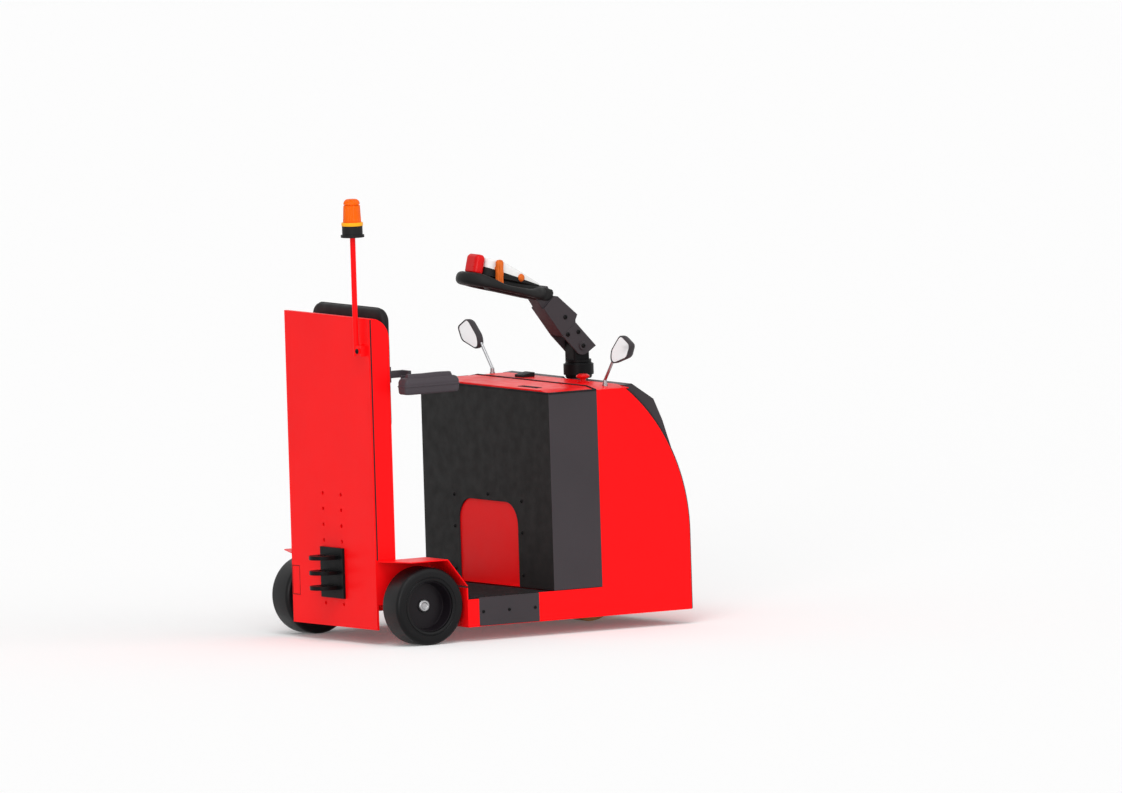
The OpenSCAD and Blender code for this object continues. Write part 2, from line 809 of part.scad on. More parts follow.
// Polyurethane tyre of the drive wheel.
module drive_tyre() {
    color("#c8b46a") wheel_at(steer_x, 0, drive_r) rotate_extrude($fn = 96) difference() {
        translate([drive_core_r, -drive_w / 2]) square([drive_r - drive_core_r, drive_w]);
        for (s = [-1, 1]) translate([drive_r, s * drive_w / 2]) rotate(45) square(9, center = true);
    }
}

// Core of the drive wheel.
module drive_core() {
    color(steel) wheel_at(steer_x, 0, drive_r) rotate_extrude($fn = 96)
        polygon([[drive_axle_r + run_gap, -drive_w / 2 - 2], [34, -drive_w / 2 - 2], [38, -16], [drive_core_r - 14, -16],
                 [drive_core_r - 10, -drive_w / 2 + 3], [drive_core_r, -drive_w / 2 + 3],
                 [drive_core_r, drive_w / 2 - 3], [drive_core_r - 10, drive_w / 2 - 3],
                 [drive_core_r - 14, 16], [38, 16], [34, drive_w / 2 + 2], [drive_axle_r + run_gap, drive_w / 2 + 2]]);
}

// Corners shared by the tiller's lower cheeks and its upper arm, from the pivot.
seam_low = [-76, 37];
seam_high = [-24, 79];

// Two cheeks on the pivot pin.
module tiller_bracket() {
    foot_r = 30;
    color(dark) translate([pivot_x, 0, pivot_z]) {
        for (side = sides) on_side(side) along_y(post_half + seat_gap, arm_w / 2) union() {
            polygon([seam_low, seam_high, [52, -3], [16, -26], [-16, -26]]);
            circle(r = foot_r);
        }
        bar_y(pivot_r, -arm_w / 2, arm_w / 2);
        for (side = sides) on_side(side) bar_y(pivot_r + 6, arm_w / 2, arm_w / 2 + 5);
    }
}

// Boxed arm above the cheeks, with a tongue between them and a neck for the head.
module tiller_arm() {
    neck_half = arm_w / 2 - 12;
    tongue_half = post_half - seat_gap;
    color(dark) translate([pivot_x, 0, pivot_z]) {
        along_y(-arm_w / 2, arm_w / 2)
            polygon([seam_low, seam_high, [-24, 88], [-16, 105], [-90, 170], [-102, 172], [-146, 132]]);
        along_y(-tongue_half, tongue_half)
            polygon([[-72, 36], [-58, 30], [-40, 32], [-16, 58], [-26, 76], [-50, 62]]);
        along_y(-neck_half, neck_half)
            polygon([[-146, 132], [-102, 172], [-122, 206], [-172, 172]]);
    }
}

// Draws the head in its own frame: X from the neck to the operator, Y to the side, Z up.
module head_frame() {
    translate([pivot_x - 140, 0, pivot_z + 182]) rotate([0, head_tilt, 0]) mirror([1, 0, 0]) children();
}

// Black loop of the tiller head and its central body.
module tiller_head() {
    loop_r = 34;
    neck_r = 36;
    tip_r = 48;
    gap_r = 18;
    gap_y = head_w / 2 - 52;
    gap_end = head_len - 112;
    body_half = 30;
    bar_h = 22;
    color(black) head_frame() {
        difference() {
            translate([0, 0, -loop_h / 2]) linear_extrude(loop_h) difference() {
                hull() {
                    translate([-8, 0]) circle(r = neck_r);
                    translate([head_len - tip_r, 0]) circle(r = tip_r);
                    for (s = [-1, 1], x = [130, head_len - 90])
                        translate([x, s * (head_w / 2 - loop_r)]) circle(r = loop_r);
                }
                for (s = [-1, 1]) hull() {
                    translate([74, s * gap_y]) circle(r = gap_r / 2);
                    translate([136, s * gap_y]) circle(r = gap_r);
                    translate([gap_end, s * gap_y]) circle(r = gap_r);
                }
            }
            for (side = sides) on_side(side)
                block([20, body_half, bar_h - loop_h / 2], [head_len - 84, head_w, loop_h]);
        }
        translate([0, 0, -loop_h / 2 - 5]) linear_extrude(loop_h / 2 + 5) translate([-20, -body_half]) square([gap_end + 20, 2 * body_half]);
    }
}

// Pale cover on the head's central body, rising towards the operator.
module head_cover() {
    low = loop_h / 2 + seat_gap;
    color("white") head_frame() hull() {
        translate([26, 0, low]) cylinder(r = 20, h = 8, $fn = 32);
        translate([120, 0, low]) cylinder(r = 38, h = 32, $fn = 32);
        translate([head_len - 106, 0, low]) cylinder(r = cover_r, h = 56, $fn = 32);
    }
}

// Red belly button that stands up in the loop's rear end.
module belly_button() {
    corner_r = 15;
    low = loop_h / 2 + seat_gap;
    color(red) head_frame() hull() for (x = [head_len - 52, head_len - 45], y = [-22, 22])
        translate([x, y, low]) {
            cylinder(r = corner_r, h = 52, $fn = 32);
            cylinder(r = corner_r - 8, h = 62, $fn = 32);
        }
}

// Two throttle wings beside the cover and the round horn button on it.
module throttle_wings() {
    wing_x = head_len - 116;
    wing_z = loop_h / 2 + 28;
    color("darkorange") head_frame() {
        for (side = sides) on_side(side) {
            translate([wing_x, 0, wing_z]) bar_y(12, cover_r - 1, cover_r + 9);
            translate([wing_x, cover_r + 6, wing_z]) rotate([0, 12, 0]) block([-13, 0, -58], [13, 14, 30]);
        }
        translate([74, 0, loop_h / 2 + 18]) rotate([0, -14, 0]) cylinder(r = 13, h = 12);
    }
}

placed() chassis();
placed() platform_mat();
placed() for (side = sides) kick_plate(side);  // kick_plates
placed() for (side = sides) fender(side);  // fenders
placed() tow_plate();
placed() access_cover();
placed() backrest_column();
placed() backrest_cushion();
placed() rear_axle();
placed() coupler();
placed() for (side = sides) armrest_bracket(side);  // armrest_brackets
placed() armrest_pad("left");  // armrest_pad_left
placed() armrest_pad("right");  // armrest_pad_right
placed() beacon_pole();
placed() beacon_base();
placed() beacon_lens();
placed() console_cover();
placed() knee_panel();
placed() console_lid();
placed() front_deck();
placed() instrument_panel();
placed() stop_button();
placed() for (side = sides) side_panel(side);  // side_panels
placed() front_hood();
placed() bonnet_cover();
placed() headlamps();
placed() battery();
placed() turret_bridge();
placed() column_collar();
placed() mirror_stalks();
placed() mirror_housings();
placed() mirror_glasses();
placed() rear_tyre("left");  // rear_tyre_left
placed() rear_tyre("right");  // rear_tyre_right
placed() rear_hub("left");  // rear_hub_left
placed() rear_hub("right");  // rear_hub_right
placed() hub_cap("left");  // hub_cap_left
placed() hub_cap("right");  // hub_cap_right
placed() drive_yoke();
placed() drive_motor();
placed() steering_shaft();
placed() drive_tyre();
placed() drive_core();
placed() tiller_bracket();
placed() tiller_arm();
placed() tiller_head();
placed() head_cover();
placed() belly_button();
placed() throttle_wings();
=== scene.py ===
"""Looks of the stand-on airport baggage tug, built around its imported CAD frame.

Lengths are in metres, apart from the points that at() and head_at() take in millimetres.
X runs forward, Y to the tug's left and Z up from the floor.
"""

import json
import math

import bmesh
import bpy
from mathutils import Matrix, Vector, noise


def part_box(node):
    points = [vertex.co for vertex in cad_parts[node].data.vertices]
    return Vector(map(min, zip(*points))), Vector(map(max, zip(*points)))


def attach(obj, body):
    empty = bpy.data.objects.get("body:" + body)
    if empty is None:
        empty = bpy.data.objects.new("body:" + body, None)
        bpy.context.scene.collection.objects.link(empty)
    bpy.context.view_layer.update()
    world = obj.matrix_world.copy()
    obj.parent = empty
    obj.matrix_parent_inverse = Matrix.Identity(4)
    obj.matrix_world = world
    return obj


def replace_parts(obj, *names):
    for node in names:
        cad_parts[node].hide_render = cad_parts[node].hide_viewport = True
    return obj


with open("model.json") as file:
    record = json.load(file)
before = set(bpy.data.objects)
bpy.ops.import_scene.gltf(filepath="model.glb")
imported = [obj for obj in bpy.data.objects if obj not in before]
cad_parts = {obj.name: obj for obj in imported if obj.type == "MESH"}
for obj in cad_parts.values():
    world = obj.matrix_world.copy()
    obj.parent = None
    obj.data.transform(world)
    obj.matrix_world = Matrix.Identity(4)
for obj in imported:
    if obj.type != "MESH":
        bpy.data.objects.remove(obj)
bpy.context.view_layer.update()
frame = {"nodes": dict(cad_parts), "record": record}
nodes = frame["nodes"]

MM = 0.001
TAIL_X = 0.530
SIDES = ((1, "left"), (-1, "right"))
SMOOTH_ANGLE = math.radians(32)


# Materials


class Nodes:
    """A material's node tree with short calls for what the materials below share."""

    def __init__(self, name):
        self.material = bpy.data.materials.new(name)
        self.material.use_nodes = True
        self.tree = self.material.node_tree
        self.tree.nodes.clear()
        self.shader = self.add("ShaderNodeBsdfPrincipled")
        output = self.add("ShaderNodeOutputMaterial")
        self.link(self.shader.outputs[0], output.inputs["Surface"])
        self.place = self.add("ShaderNodeTexCoord").outputs["Object"]

    def add(self, kind, **settings):
        node = self.tree.nodes.new(kind)
        for key, value in settings.items():
            setattr(node, key, value)
        return node

    def link(self, source, target):
        self.tree.links.new(source, target)

    def set(self, **sockets):
        for key, value in sockets.items():
            self.shader.inputs[key.replace("_", " ")].default_value = value

    def noise(self, scale, detail=4.0, stretch=(1, 1, 1), rough=0.55):
        """A noise pattern with that many waves per metre, squeezed along the axes by stretch."""
        mapping = self.add("ShaderNodeMapping")
        mapping.inputs["Scale"].default_value = stretch
        self.link(self.place, mapping.inputs["Vector"])
        pattern = self.add("ShaderNodeTexNoise")
        pattern.inputs["Scale"].default_value = scale
        pattern.inputs["Detail"].default_value = detail
        pattern.inputs["Roughness"].default_value = rough
        self.link(mapping.outputs[0], pattern.inputs["Vector"])
        return pattern.outputs["Fac"]

    def ramp(self, factor, low, high, start=0.35, end=0.65):
        """Turns a factor into a colour between two colours."""
        ramp = self.add("ShaderNodeValToRGB")
        first, last = ramp.color_ramp.elements
        first.position, last.position = start, end
        first.color, last.color = (*low, 1), (*high, 1)
        self.link(factor, ramp.inputs[0])
        return ramp.outputs["Color"]

    def span(self, factor, low, high, start=0.3, end=0.7):
        """Turns a factor into a number between low and high."""
        span = self.add("ShaderNodeMapRange")
        for key, value in (("From Min", start), ("From Max", end), ("To Min", low), ("To Max", high)):
            span.inputs[key].default_value = value
        self.link(factor, span.inputs["Value"])
        return span.outputs[0]

    def bump(self, height, depth, strength=1.0):
        """Bumps the surface by a height pattern, chained onto any bump made before."""
        bump = self.add("ShaderNodeBump")
        bump.inputs["Strength"].default_value = strength
        bump.inputs["Distance"].default_value = depth
        self.link(height, bump.inputs["Height"])
        normal = self.shader.inputs["Normal"]
        if normal.links:
            self.link(normal.links[0].from_socket, bump.inputs["Normal"])
        self.link(bump.outputs[0], normal)

    def painted_edge_highlight(self, colour, highlight_colour, amount=0.5):
        """Lightens a colour where the surface turns a convex corner: a painted highlight along the edges."""
        geometry = self.add("ShaderNodeNewGeometry")
        mask = self.span(geometry.outputs["Pointiness"], 0.0, amount, start=0.52, end=0.60)
        mix = self.add("ShaderNodeMix", data_type="RGBA")
        self.link(mask, mix.inputs[0])
        self.link(colour, mix.inputs[6])
        mix.inputs[7].default_value = (*highlight_colour, 1)
        return mix.outputs[2]


def shade(colour, factor):
    """A colour made lighter or darker."""
    return tuple(min(1.0, c * factor) for c in colour)


def finish(name, colour, rough, metal, grain, depth, change, shine, edge_highlight=None, stretch=(1, 1, 1)):
    """A surface with a fine grain, uneven gloss and slight drift in its colour."""
    m = Nodes(name)
    drift = m.noise(scale=3.0, detail=3.0)
    base = m.ramp(drift, shade(colour, 1 - change), shade(colour, 1 + change), start=0.3, end=0.7)
    # Painted highlight: a lighter colour along convex edges, where a finish asks for one.
    if edge_highlight:
        base = m.painted_edge_highlight(base, edge_highlight)
    m.link(base, m.shader.inputs["Base Color"])
    gloss = m.noise(scale=24.0, detail=5.0)
    m.link(m.span(gloss, rough * 0.85, min(1.0, rough * 1.2)), m.shader.inputs["Roughness"])
    m.bump(m.noise(grain, 3.0, stretch), depth)
    m.set(Metallic=metal, Specular_IOR_Level=shine)
    return m.material


def clear(name, colour, rough, transmission, shine):
    """Clear plastic or glass with faint moulding marks."""
    m = Nodes(name)
    m.link(m.ramp(m.noise(scale=9.0), shade(colour, 0.94), colour), m.shader.inputs["Base Color"])
    m.link(m.span(m.noise(scale=40.0), rough, rough * 1.6), m.shader.inputs["Roughness"])
    m.bump(m.noise(scale=160.0, detail=2.0), depth=0.0001, strength=0.4)
    m.set(Transmission_Weight=transmission, IOR=1.45, Specular_IOR_Level=shine)
    return m.material


# Colour, roughness, metal, grain in waves per metre, depth of the grain, drift of colour, shine.
FINISHES = {
    "red_paint": ((0.92, 0.004, 0.006), 0.34, 0.0, 70, 0.00004, 0.03, 0.08),
    "black_plastic": ((0.012, 0.012, 0.012), 0.52, 0.0, 900, 0.00012, 0.08, 0.12),
    "dark_plastic": ((0.036, 0.030, 0.034), 0.48, 0.0, 900, 0.00012, 0.08, 0.2),
    "mat_rubber": ((0.010, 0.010, 0.011), 0.72, 0.0, 700, 0.0003, 0.3, 0.15),
    "cushion_cover": ((0.006, 0.005, 0.006), 0.50, 0.0, 330, 0.0004, 0.15, 0.2),
    "arm_cover": ((0.050, 0.041, 0.048), 0.50, 0.0, 330, 0.0004, 0.12, 0.2),
    "black_cast": ((0.003, 0.003, 0.0034), 0.40, 0.0, 260, 0.0003, 0.2, 0.08),
    "dark_steel": ((0.042, 0.036, 0.042), 0.42, 0.0, 420, 0.0002, 0.15, 0.3),
    "black_tyre": ((0.003, 0.003, 0.0035), 0.36, 0.0, 420, 0.00015, 0.3, 0.16),
    "hub_paint": ((0.007, 0.005, 0.007), 0.36, 0.0, 420, 0.0001, 0.2, 0.16),
    "tan_tyre": ((0.62, 0.44, 0.16), 0.42, 0.0, 420, 0.0002, 0.12, 0.25),
    "bare_steel": ((0.36, 0.36, 0.37), 0.34, 1.0, 700, 0.0001, 0.08, 0.25),
    # Mirror glass: a near-white colour on a mostly non-metal surface, a painted reflection of the white
    # surroundings over some real gloss.
    "mirror_glass": ((0.93, 0.94, 0.95), 0.12, 0.25, 30, 0.00002, 0.02, 0.6),
    "battery_case": ((0.08, 0.09, 0.10), 0.5, 0.0, 500, 0.0003, 0.12, 0.25),
    "motor_iron": ((0.05, 0.05, 0.055), 0.5, 0.3, 300, 0.0004, 0.2, 0.25),
    "pale_plastic": ((0.78, 0.78, 0.77), 0.38, 0.0, 700, 0.0001, 0.03, 0.25),
    "red_plastic": ((0.62, 0.004, 0.005), 0.30, 0.0, 300, 0.00005, 0.06, 0.15),
    "yellow_plastic": ((0.90, 0.40, 0.01), 0.35, 0.0, 500, 0.0001, 0.05, 0.15),
    "orange_plastic": ((0.66, 0.13, 0.015), 0.38, 0.0, 600, 0.0001, 0.08, 0.15),
}
# What a finish has besides: a painted highlight colour at its convex edges, or a grain drawn out along one
# axis.
EXTRAS = {
    # Painted highlight along the coupler's and screws' convex edges, a little lighter than their black.
    "black_cast": {"edge_highlight": (0.015, 0.015, 0.015)},
    "bare_steel": {"stretch": (1, 1, 14)},
}
# Colour, roughness, transmission, shine.
CLEAR_FINISHES = {
    "lamp_glass": ((0.95, 0.96, 0.97), 0.05, 0.9, 0.5),
    "amber_lens": ((0.90, 0.130, 0.001), 0.18, 0.04, 0.12),
}
MATERIALS = {name: finish(name, *look, **EXTRAS.get(name, {})) for name, look in FINISHES.items()}
MATERIALS.update({name: clear(name, *look) for name, look in CLEAR_FINISHES.items()})


# Carried-over CAD nodes

BEVELS = {"default": 0.0016, "coupler": 0.003, "mirror_housings": 0.006, "fenders": 0.0012}
# Voxel size and smoothing rounds for moulded pieces, whose edges are well rounded.
MOULDED = {"head_cover": (0.0020, 24), "belly_button": (0.0018, 30)}
# A face whose normal leans this far to the left or right counts as a side, and takes the painted lighter side
# shade.
SIDEWAYS = 0.7


def soften(obj, width):
    """Welds the CAD mesh's seams, rounds its edges and smooths its curves."""
    mesh = obj.data
    mesh.polygons.foreach_set("use_smooth", [True] * len(mesh.polygons))
    weld = obj.modifiers.new("weld", "WELD")
    weld.merge_threshold = 0.00001
    flatten = obj.modifiers.new("flatten", "DECIMATE")
    flatten.decimate_type = "DISSOLVE"
    flatten.angle_limit = math.radians(0.5)
    bevel = obj.modifiers.new("bevel", "BEVEL")
    bevel.width = width
    bevel.segments = 2
    bevel.limit_method = "ANGLE"
    bevel.angle_limit = SMOOTH_ANGLE
    obj.modifiers.new("normals", "WEIGHTED_NORMAL")


def mould(obj, voxel, rounds):
    """Melts a CAD mesh into one round-edged moulding."""
    remesh = obj.modifiers.new("remesh", "REMESH")
    remesh.mode = "VOXEL"
    remesh.voxel_size = voxel
    remesh.use_smooth_shade = True
    smooth = obj.modifiers.new("smooth", "SMOOTH")
    smooth.factor = 0.5
    smooth.iterations = rounds


def dress_nodes():
    """Gives every CAD node its slot's material and eased edges."""
    slots = {part["node"]: part["material_slot"] for part in frame["record"]["subparts"]}
    for name, obj in nodes.items():
        obj.data.materials.clear()
        obj.data.materials.append(MATERIALS[slots[name]])
        if name in MOULDED:
            mould(obj, *MOULDED[name])
        else:
            soften(obj, BEVELS.get(name, BEVELS["default"]))


def paint_lit_sides(name, slot):
    """Gives a CAD node's left and right faces a lighter finish: painted light, a lit copy of the same plastic
    standing for the brighter light that falls on the sides.
    """
    mesh = nodes[name].data
    mesh.materials.append(MATERIALS[slot])
    for polygon in mesh.polygons:
        if abs(polygon.normal.y) > SIDEWAYS:
            polygon.material_index = 1


dress_nodes()
# Painted light: the console cover's sides take the lighter dark plastic as a lit copy of its black plastic.
paint_lit_sides("console_cover", "dark_plastic")


# Tools for the pieces made here


def at(x, y, z):
    """A point given in millimetres from the tow plate's rear face, in the row frame."""
    return Vector((x * MM - TAIL_X, y * MM, z * MM))


def add_piece(name, bm, slot, body, look=None):
    """Turns a bmesh into a shown piece that rides on a CAD body."""
    bmesh.ops.recalc_face_normals(bm, faces=bm.faces)
    mesh = bpy.data.meshes.new(name)
    bm.to_mesh(mesh)
    bm.free()
    mesh.polygons.foreach_set("use_smooth", [True] * len(mesh.polygons))
    mesh.set_sharp_from_angle(angle=SMOOTH_ANGLE)
    mesh.materials.append(MATERIALS[look or slot])
    obj = bpy.data.objects.new(name, mesh)
    bpy.context.scene.collection.objects.link(obj)
    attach(obj, body)
    return obj


def skin(bm, rings, closed=False):
    """Joins rings of points with faces. The first and last ring are filled, or joined if closed."""
    loops = [[bm.verts.new(point) for point in ring] for ring in rings]
    count = len(loops[0])
    following = loops[1:] + loops[:1] if closed else loops[1:]
    for low, high in zip(loops, following):
        for i in range(count):
            j = (i + 1) % count
            bm.faces.new((low[i], low[j], high[j], high[i]))
    if not closed:
        bm.faces.new(loops[0])
        bm.faces.new(loops[-1])


def lathe(bm, profile, centre, axis, segments, closed=False, flutes=0, flute_depth=0.0):
    """Turns a profile of (radius, height) points about an axis, with flutes in its side if wanted."""
    turn = Vector(axis).to_track_quat("Z", "Y").to_matrix()
    rings = []
    for radius, height in profile:
        ring = []
        for i in range(segments):
            angle = 2 * math.pi * i / segments
            r = radius - flute_depth * (0.5 - 0.5 * math.cos(flutes * angle))
            point = Vector((r * math.cos(angle), r * math.sin(angle), height))
            ring.append(Vector(centre) + turn @ point)
        rings.append(ring)
    skin(bm, rings, closed)


def arc(centre, radius, start, end, steps):
    """Points of an arc, with angles in degrees."""
    points = []
    for i in range(steps + 1):
        angle = math.radians(start + (end - start) * i / steps)
        points.append((centre[0] + radius * math.cos(angle), centre[1] + radius * math.sin(angle)))
    return points


def dome(radius, base, rise):
    """A profile that curves from a rim in to the top, which it leaves open."""
    angles = [math.radians(a) for a in range(0, 88, 8)]
    return [(radius * math.cos(a), base + rise * math.sin(a)) for a in angles]


def rounded_outline(width, height, corner, along=14, steps=6):
    """Points of a rectangle with round corners, centred on the origin."""
    points = []
    a, b = width / 2 - corner, height / 2 - corner
    corners = [(a, b, 0), (-a, b, 90), (-a, -b, 180), (a, -b, 270)]
    for k, (x, y, start) in enumerate(corners):
        points += arc((x, y), corner, start, start + 90, steps)
        nx, ny, turn = corners[(k + 1) % 4]
        last = points[-1]
        first = arc((nx, ny), corner, turn, turn, 1)[0]
        for i in range(1, along):
            t = i / along
            points.append((last[0] + (first[0] - last[0]) * t, last[1] + (first[1] - last[1]) * t))
    return points


def rounded_polygon(points, reach, steps=6):
    """A polygon's points with each corner turned into a smooth curve that starts that far from it."""
    result = []
    count = len(points)
    for k in range(count):
        corner = Vector(points[k])
        ends = []
        for other in (points[k - 1], points[(k + 1) % count]):
            side = Vector(other) - corner
            ends.append(corner + side.normalized() * min(reach, side.length * 0.48))
        for i in range(steps + 1):
            t = i / steps
            result.append(ends[0] * (1 - t) ** 2 + corner * 2 * t * (1 - t) + ends[1] * t ** 2)
    return result


def squared_ring(steps, power):
    """Points between a circle and a square, as shares of the half width and the half height."""
    points = []
    for i in range(steps):
        angle = 2 * math.pi * i / steps
        c, s = math.cos(angle), math.sin(angle)
        points.append((math.copysign(abs(c) ** power, c), math.copysign(abs(s) ** power, s)))
    return points


def between(values, t):
    """A smooth step from the second of four values to the third."""
    p, q, r, w = values
    square = 2 * p - 5 * q + 4 * r - w
    cube = 3 * q - p - 3 * r + w
    return 0.5 * (2 * q + (r - p) * t + square * t * t + cube * t ** 3)


def smooth_path(points, steps):
    """A closed smooth curve through points that may have any number of values each."""
    result = []
    count = len(points)
    for k in range(count):
        four = [points[(k + i) % count] for i in (-1, 0, 1, 2)]
        for i in range(steps):
            result.append([between(values, i / steps) for values in zip(*four)])
    return result


# Cushions

RIPPLE_SCALE = 13
RIPPLE_DEPTH = 0.0016


def pad_profile(width, height, side, crown):
    """Inset and rise of a pad's rings, from its back past its piping to the middle of its face."""
    bead = 0.003
    shoulder = side * 0.34
    profile = [(0.014, 0.0), (0.005, 0.001), (0.001, 0.006), (0.0, side * 0.3), (0.0, side * 0.46)]
    profile += [(-bead * share, side * level) for share, level in ((0.7, 0.475), (1.0, 0.5), (0.7, 0.525))]
    profile.append((0.001, side * 0.54))
    for a in range(0, 91, 15):
        angle = math.radians(a)
        profile.append((shoulder - shoulder * math.cos(angle), side - shoulder + shoulder * math.sin(angle)))
    reach = min(width, height) / 2 - 0.006
    steps = 12
    for i in range(1, steps + 1):
        t = i / steps
        profile.append((shoulder + (reach - shoulder) * t, side + crown * (1 - (1 - t) ** 2.2)))
    return profile


def add_pad(node, across, up, out, crown, corner, look):
    """A stuffed pad in a CAD node's box: piped edge, rounded shoulders and a crowned face."""
    low, high = (Vector(c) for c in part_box(node))
    size = high - low
    middle = (low + high) / 2
    width, height, depth = size[across], size[up], size[out]
    side = depth - crown
    rings = []
    for inset, rise in pad_profile(width, height, side, crown):
        ring = []
        for u, v in rounded_outline(width - 2 * inset, height - 2 * inset, max(corner - inset, 0.003)):
            point = middle.copy()
            point[across] += u
            point[up] += v
            ripple = 0.0
            if rise > side * 0.6:
                ripple = RIPPLE_DEPTH * noise.noise((u * RIPPLE_SCALE, v * RIPPLE_SCALE, depth))
            point[out] = low[out] + max(0.0, rise + ripple)
            ring.append(point)
        rings.append(ring)
    bm = bmesh.new()
    skin(bm, rings)
    pad = add_piece(node + "_soft", bm, "cushion_cover", "chassis", look)
    pad.modifiers.new("round", "SUBSURF").levels = 1
    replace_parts(pad, node)


add_pad("backrest_cushion", 1, 2, 0, 0.014, 0.045, "cushion_cover")
for pad_side in ("left", "right"):
    add_pad("armrest_pad_" + pad_side, 0, 1, 2, 0.012, 0.012, "arm_cover")


# Wheels


def mirrored(profile):
    """A profile's outer half followed by its inner half."""
    return profile + [(r, -h) for r, h in reversed(profile)]


def add_rear_tyre(side):
    """A solid tyre with a flat tread, round shoulders and a ringed side face."""
    node = "rear_tyre_" + side
    low, high = (Vector(c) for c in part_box(node))
    centre = (low + high) / 2
    radius = (high.z - low.z) / 2
    half = (high.y - low.y) / 2
    bore = 0.0842
    shoulder = 0.015
    groove = half - 0.0018
    outer = [(bore, half - 0.006), (bore + 0.0015, half - 0.002), (bore + 0.005, half), (bore + 0.009, half)]
    outer += [(bore + 0.0105, groove), (bore + 0.0125, groove), (bore + 0.014, half)]
    outer += [(radius - shoulder - 0.002, half)]
    outer += arc((radius - shoulder, half - shoulder), shoulder, 90, 0, 8)[1:]
    bm = bmesh.new()
    lathe(bm, mirrored(outer), centre, (0, 1, 0), 128, closed=True)
    tyre = add_piece(node + "_rubber", bm, "black_tyre", "wheel_" + side)
    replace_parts(tyre, node)


for wheel_side in ("left", "right"):
    add_rear_tyre(wheel_side)


# Beacon


def add_beacon():
    """A fluted amber lens with a groove and a domed top, and a yellow ring at its foot."""
    low, high = (Vector(c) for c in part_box("beacon_lens"))
    centre = Vector(((low.x + high.x) / 2, (low.y + high.y) / 2, low.z))
    radius = (high.x - low.x) / 2
    tall = high.z - low.z
    top = radius - 0.003
    waist = radius - 0.006
    crown = 0.016
    profile = [(radius, 0.0), (radius, 0.004), (radius - 0.001, tall * 0.3), (radius - 0.002, tall * 0.6)]
    profile += [(radius - 0.0025, tall * 0.72), (waist, tall * 0.735), (waist, tall * 0.755)]
    profile.append((top, tall * 0.77))
    profile += arc((top - crown, tall - crown), crown, 0, 90, 8)
    profile.append((0.001, tall))
    bm = bmesh.new()
    lathe(bm, profile, centre, (0, 0, 1), 144, flutes=24, flute_depth=0.0012)
    lens = add_piece("beacon_lens_fluted", bm, "amber_lens", "chassis")
    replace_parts(lens, "beacon_lens")
    ring = radius + 0.0052
    seat = radius + 0.0005
    section = [(ring, -0.011), (ring + 0.0008, -0.009), (ring + 0.0008, -0.002), (ring - 0.001, 0.0005)]
    section += [(seat, 0.0005), (seat, -0.011)]
    bm = bmesh.new()
    lathe(bm, section, centre, (0, 0, 1), 64, closed=True)
    add_piece("beacon_ring", bm, "amber_lens", "chassis", "yellow_plastic")


add_beacon()


# Mirrors

# A shell's outline from behind, in millimetres from its rod's end, and its reach and drop from there.
MIRROR_OUTLINE = [(4, 3), (20, -10), (109, 15), (133, 60), (78, 89), (62, 83), (10, 34)]
MIRROR_REACH = 0.133
MIRROR_DROP = 0.010
MIRROR_CORNER = 14
# Scale of the outline and share of the depth, from the rim to the back and from the rim to the middle.
SHELL_PROFILE = [(0.90, 0.10), (0.90, 0.06), (0.92, 0.01), (0.94, 0.0), (0.98, 0.0), (1.0, 0.06),
                 (1.0, 0.34), (0.99, 0.52), (0.95, 0.72), (0.88, 0.88), (0.76, 0.97), (0.60, 1.0)]
GLASS_PROFILE = [(0.897, 0.10), (0.897, 0.055), (0.70, 0.035), (0.40, 0.025), (0.10, 0.022)]
MIRROR_PIECES = (("shell", SHELL_PROFILE, "dark_plastic", "mirror_housings"),
                 ("glass", GLASS_PROFILE, "mirror_glass", "mirror_glasses"))


def add_mirrors():
    """Shells with a domed back and a crowned glass, standing for the CAD's plain blocks."""
    low, high = (Vector(c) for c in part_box("mirror_housings"))
    depth = high.x - low.x
    outline = [point * MM for point in rounded_polygon(MIRROR_OUTLINE, MIRROR_CORNER)]
    middle = sum(outline, Vector((0, 0))) / len(outline)
    for side, word in SIDES:
        for name, profile, slot, node in MIRROR_PIECES:
            rings = []
            for scale, back in profile:
                ring = []
                for point in outline:
                    y, z = middle + (point - middle) * scale
                    across = side * (high.y - MIRROR_REACH + y)
                    ring.append(Vector((low.x + depth * back, across, low.z + MIRROR_DROP + z)))
                rings.append(ring)
            bm = bmesh.new()
            skin(bm, rings)
            piece = add_piece("mirror_" + name + "_" + word, bm, slot, "chassis")
            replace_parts(piece, node)


add_mirrors()


# Headlamps

LENS_RADIUS = 0.0382
BEZEL_SECTION = [(0.0435, -0.006), (0.0445, -0.003), (0.043, 0.001), (0.040, 0.0025), (0.0385, 0.001),
                 (0.0385, -0.006)]
# A face whose normal leans this far forward can be a lamp's front.
FORWARD = 0.3


def lamp_face(side):
    """Centre and outward direction of a headlamp's flat front, from the right-hand CAD lamp."""
    mesh = nodes["headlamps"].data
    best = {}
    for polygon in mesh.polygons:
        if polygon.center.y < 0:
            key = tuple(round(c, 2) for c in polygon.normal)
            area, centre = best.get(key, (0.0, Vector()))
            best[key] = (area + polygon.area, centre + polygon.center * polygon.area)
    forward = {key: value for key, value in best.items() if key[0] > FORWARD}
    normal, (area, total) = max(forward.items(), key=lambda item: item[1][0])
    flip = Vector((1, -side, 1))
    return total / area * flip, Vector(normal).normalized() * flip


